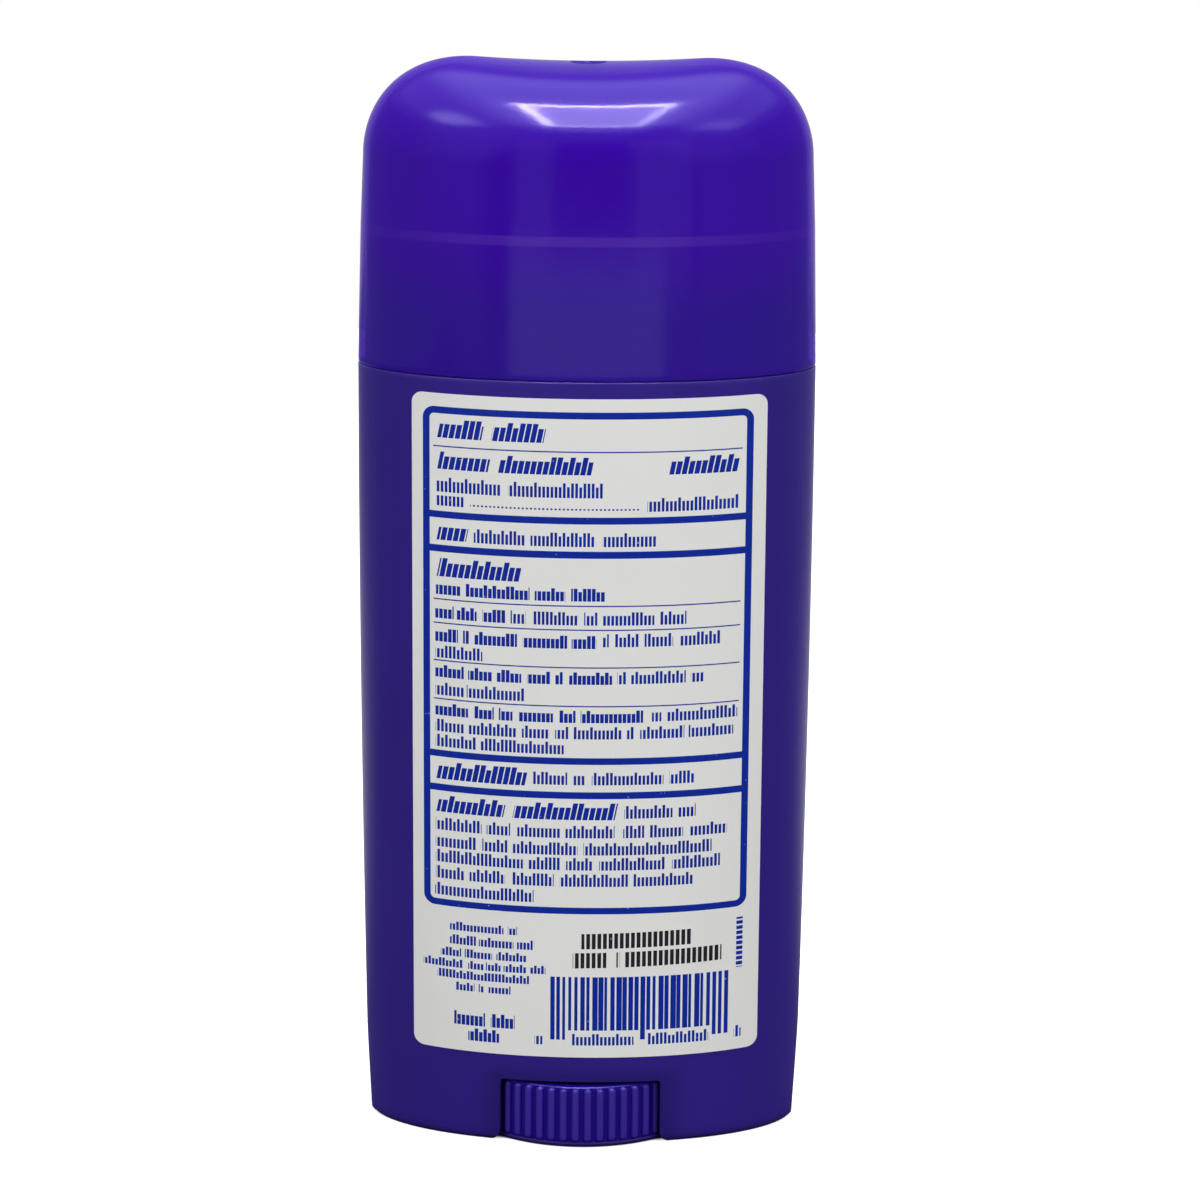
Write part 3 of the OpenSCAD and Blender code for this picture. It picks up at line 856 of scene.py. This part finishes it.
def print_of(style):
    """The ink of all rows of one style: upright strokes at the style's pitch inside each word, of which
    a third reach the row's full height. Those of a head lean over."""
    pitch, share = styles[style]
    leans = style == "head"
    lean = x - z * slant if leans else x
    rows = []
    for kind, base, height, places in print_rows:
        if kind == style:
            shift = base * slant if leans else 0
            back = slant_back if leans else 0
            ends = [(start - shift, end - shift - back) for start, end in places]
            words = reduce(add, [lean.near((a + b) / 2, (b - a) / 2) for a, b in ends])
            rows.append((words * z.near(base + height / 2, height / 2), base, height))
    marks = reduce(add, [row for row, base, height in rows])
    bases = reduce(add, [row * base for row, base, height in rows])
    heights = reduce(add, [row * height for row, base, height in rows])
    stroke = lean / pitch
    place = paper.node("ShaderNodeCombineXYZ", {}, {0: stroke.math("FLOOR"), 1: bases, 2: 0.5})
    chance = paper.node("ShaderNodeTexWhiteNoise", {}, {"Vector": place})
    short = (z - bases > heights * short_share) * (chance < short_chance)
    return marks * (stroke.math("FRACT") < share) * (1 - short)


ink = print_of("head") | print_of("bold") | print_of("text") | print_of("small")

# The border with its round corners, as the distance from its middle line, and the rules across it.
border_left = -22.1
border_right = 23.1
border_low = 34.12
border_high = 105.1
border_line = 0.95
border_round = 1.6
thin_rule = 0.09
from_side = abs(x - (border_left + border_right) / 2) - ((border_right - border_left) / 2 - border_round)
from_end = abs(z - (border_low + border_high) / 2) - ((border_high - border_low) / 2 - border_round)
round_corner = ((from_side | 0) ** 2 + (from_end | 0) ** 2) ** 0.5
distance = round_corner + (from_side | from_end).math("MINIMUM", 0) - border_round
ink = ink | distance.near(-border_line / 2, border_line / 2)
for low, high in [(89.64, 90.6), (84.87, 85.85), (55.72, 56.68), (50.81, 51.79)]:
    ink = ink | block(border_left + 0.5, border_right - 0.5, low, high)
for height in (99.62, 78.2, 74.84, 69.52, 64.04):
    ink = ink | block(-20.65, 21.6, height - thin_rule, height + thin_rule)
dot_step = 0.56
ink = ink | ((x / dot_step).math("FRACT") < 0.5) * block(-15.5, 7.7, 91.55, 91.8)

# The field of upright stripes of uneven width, with three groups that reach lower.
stripe_step = 0.84
stripes_left = -4.4
stripes_right = 20.9
stripes_low = 17.0
stripes_high = 24.9
group_low = 15.6
stripe = x / stripe_step
width = paper.node("ShaderNodeTexWhiteNoise", {"noise_dimensions": "1D"}, {"W": stripe.math("FLOOR")})
groups = [(stripes_left, -1.7), (8.2, 9.1), (18.4, stripes_right)]
groups = reduce(add, [block(left, right, group_low, stripes_high) for left, right in groups])
field = block(stripes_left, stripes_right, stripes_low, stripes_high) | groups
ink = ink | (stripe.math("FRACT") < width * 0.5 + 0.46) * field

# The row up the side, and the two stamped rows, which run a little downhill.
side_row = x.near(22.2, 0.45) * z.near(28.85, 3.7) * ((z / 0.75).math("FRACT") < 0.7)
ink = (ink | side_row).math("MINIMUM", 1)
slope = z - x * 0.022
stamp_first = x.near(7.75, 7.65) * slope.near(30.1, 1.12)
stamp_second = (x.near(1.25, 2.35) + x.near(5.25, 0.25) + x.near(12.9, 6.8)) * slope.near(27.3, 1.12)
stamp = (stamp_first + stamp_second) * ((x / 0.78).math("FRACT") < 0.68)

fibre = paper.noise(900, 4, (1, 1, 0.5))
mottle = paper.noise(70, 4)
scuff = paper.noise(1500, 2).ramp(0.74, 0.78)
colour = paper.mix(mottle, paper_dark, paper_light)
colour = paper.mix(ink * (1 - scuff * 0.5), colour, paper.mix(fibre, ink_dark, ink_light))
colour = paper.mix(stamp * (1 - scuff * 0.4), colour, stamp_black)
surface = paper.plastic(
    Base_Color=colour,
    Roughness=0.42 + mottle * 0.1 + fibre * 0.06,
    Normal=paper.bump(fibre * 0.5 + mottle * 0.5, 0.00003),
    Specular_IOR_Level=0.25)
label.data.materials.append(paper.close(surface))

# Floor, light and backdrop
# A plain white floor under a white world. The camera sees both white, while the gloss mirrors a dim
# room in them, pale behind the pack and dark before it. Soft lamps stand at four corners and one hangs
# above, and three openings in front show only in the gloss.
# Half the width and depth of the floor that the pack stands on, which the camera sees dark: painted shade
# inside the hollow skirt.
under_pack = (30.2, 15.2)
floor_white = (0.62, 0.62, 0.63)
floor_pale = (0.46, 0.46, 0.47)
floor_dim = (0.07, 0.07, 0.075)
floor_dark = (0.008, 0.008, 0.009)
room_colour = (0.82, 0.80, 0.75)


def stage_sheet(name, corners, material):
    """A flat sheet through four corners in metres, which isn't part of the object."""
    mesh = bpy.data.meshes.new(name)
    mesh.from_pydata(corners, [], [(0, 1, 2, 3)])
    mesh.materials.append(material)
    made = bpy.data.objects.new(name, mesh)
    bpy.context.scene.collection.objects.link(made)
    return made


white = Finish("white floor")
lit = white.node("ShaderNodeBsdfDiffuse", {}, {"Color": floor_white})
glow = white.node("ShaderNodeEmission", {}, {"Color": (1.0, 1.0, 1.0), "Strength": 0.62})
bright = white.node("ShaderNodeAddShader", {}, {0: lit, 1: glow})
pale = white.y.ramp(20, 150) * (1 - abs(white.x).ramp(100, 400) * 0.85)
mirrored = white.mix(pale, white.mix(white.x.ramp(-450, -300), floor_dark, floor_dim), floor_pale)
dull = white.node("ShaderNodeBsdfDiffuse", {}, {"Color": mirrored})
# Painted shade: inside the pack's footprint the camera sees the dark dull floor instead of the white one.
beside_pack = ((white.x / under_pack[0]) ** 2 + (white.y / under_pack[1]) ** 2).ramp(0.85, 1.0)
floor_seen = white.node("ShaderNodeLightPath", out="Is Camera Ray")
floor_shader = white.node("ShaderNodeMixShader", {}, {0: floor_seen * beside_pack, 1: dull, 2: bright})
floor_corners = [(-0.7, -0.7, 0), (0.7, -0.7, 0), (0.7, 0.7, 0), (-0.7, 0.7, 0)]
stage_sheet("floor", floor_corners, white.close(floor_shader))

room = Finish("white world", world=True)
plain = room.node("ShaderNodeBackground", {}, {"Color": (1.0, 1.0, 1.0), "Strength": 1.0})
behind = room.y.ramp(0.45, 0.92) * 0.38 * (1 - room.z.ramp(0.60, 0.80))
above = room.z.ramp(0.50, 0.80) * 0.3
in_front = room.y.ramp(-0.90, -0.80) * 0.21 + 0.07
dim = room.node("ShaderNodeBackground", {}, {"Color": room_colour, "Strength": behind + above + in_front})
room_seen = room.node("ShaderNodeLightPath", out="Is Camera Ray")
room_shader = room.node("ShaderNodeMixShader", {}, {0: room_seen, 1: dim, 2: plain})
bpy.context.scene.world = room.close(room_shader)


def lamp(name, place, target, size, power, glossy=True, diffuse=True):
    """A soft rectangular lamp at a place in metres, turned towards a target. size is its width and
    height. A lamp that isn't glossy shows in no reflection, and one that isn't diffuse shows only there."""
    data = bpy.data.lights.new(name, "AREA")
    data.shape = "RECTANGLE"
    data.size, data.size_y = size
    data.energy = power
    made = bpy.data.objects.new(name, data)
    away = Vector(place) - Vector(target)
    made.matrix_world = Matrix.Translation(place) @ away.to_track_quat("Z", "Y").to_matrix().to_4x4()
    made.visible_glossy = glossy
    made.visible_diffuse = diffuse
    made.visible_camera = False
    bpy.context.scene.collection.objects.link(made)


lamp("lamp_left", (-0.9, -0.9, 0.6), (0, 0, 0.08), (0.9, 0.9), 10.2, glossy=False)
lamp("lamp_right", (0.9, -0.9, 0.6), (0, 0, 0.08), (0.9, 0.9), 11.4, glossy=False)
lamp("lamp_back_left", (-0.9, 1.0, 0.6), (0, 0, 0.08), (0.9, 0.9), 6.0, glossy=False)
lamp("lamp_back_right", (0.9, 1.0, 0.6), (0, 0, 0.08), (0.9, 0.9), 6.0, glossy=False)
lamp("above", (0, 0.3, 1.0), (0, 0.3, 0), (2.0, 1.6), 16.0, glossy=False)
openings = [(-0.27, 0.40, 0.20, 0.8, 0.14), (0.38, 0.40, 0.34, 0.8, 0.25), (-0.01, -0.12, 0.78, 0.34, 0.57)]
for left, up, wide, high, power in openings:
    lamp("opening", (left, -0.95, up), (left, 0, up), (wide, high), power, diffuse=False)

# Ceiling
# What the gloss of the cap mirrors from above: a pale ceiling with a square lamp in it, which has a
# bright strip along each edge. It shows only in reflections.
ceiling_colour = (0.88, 0.83, 0.97)
ceiling_level = 0.45
# Each patch of light: its middle, its width and depth, how softly its edge falls off, and its strength.
patches = [
    (0, -100, 2300, 1500, 300, 0.45), (550, -100, 1200, 1300, 350, 0.4), (10, -50, 1000, 1400, 300, 1.5),
    (0, -420, 640, 960, 180, 1.5), (-700, -500, 560, 560, 220, 4.2), (720, -640, 680, 580, 260, 1.9),
    (10, -365, 340, 500, 20, 6.0), (10, -115, 360, 20, 4, 95), (10, -610, 350, 20, 4, 36),
    (-165, -365, 20, 500, 4, 90), (185, -365, 20, 500, 4, 45)]
overhead = Finish("ceiling")


def patch(x, y, wide, deep, soft, level):
    """A rectangle of light on the ceiling, at its full strength inside and 0 at its edge."""
    across = (wide / 2 - abs(overhead.x - x)).ramp(0, soft)
    along = (deep / 2 - abs(overhead.y - y)).ramp(0, soft)
    return across * along * level


light = reduce(add, [patch(*row) for row in patches]) + ceiling_level
shade = overhead.node("ShaderNodeVectorMath", {"operation": "SCALE"}, {0: ceiling_colour, "Scale": light})
shine = overhead.node("ShaderNodeEmission", {}, {"Color": shade, "Strength": 1.0})
ceiling_corners = [(-1.3, -1, 1), (-1.3, 0.8, 1), (1.3, 0.8, 1), (1.3, -1, 1)]
ceiling = stage_sheet("ceiling", ceiling_corners, overhead.close(shine))
ceiling.visible_camera = False
ceiling.visible_diffuse = False
ceiling.visible_shadow = False

bpy.context.scene.view_settings.view_transform = "Standard"
bpy.context.view_layer.update()
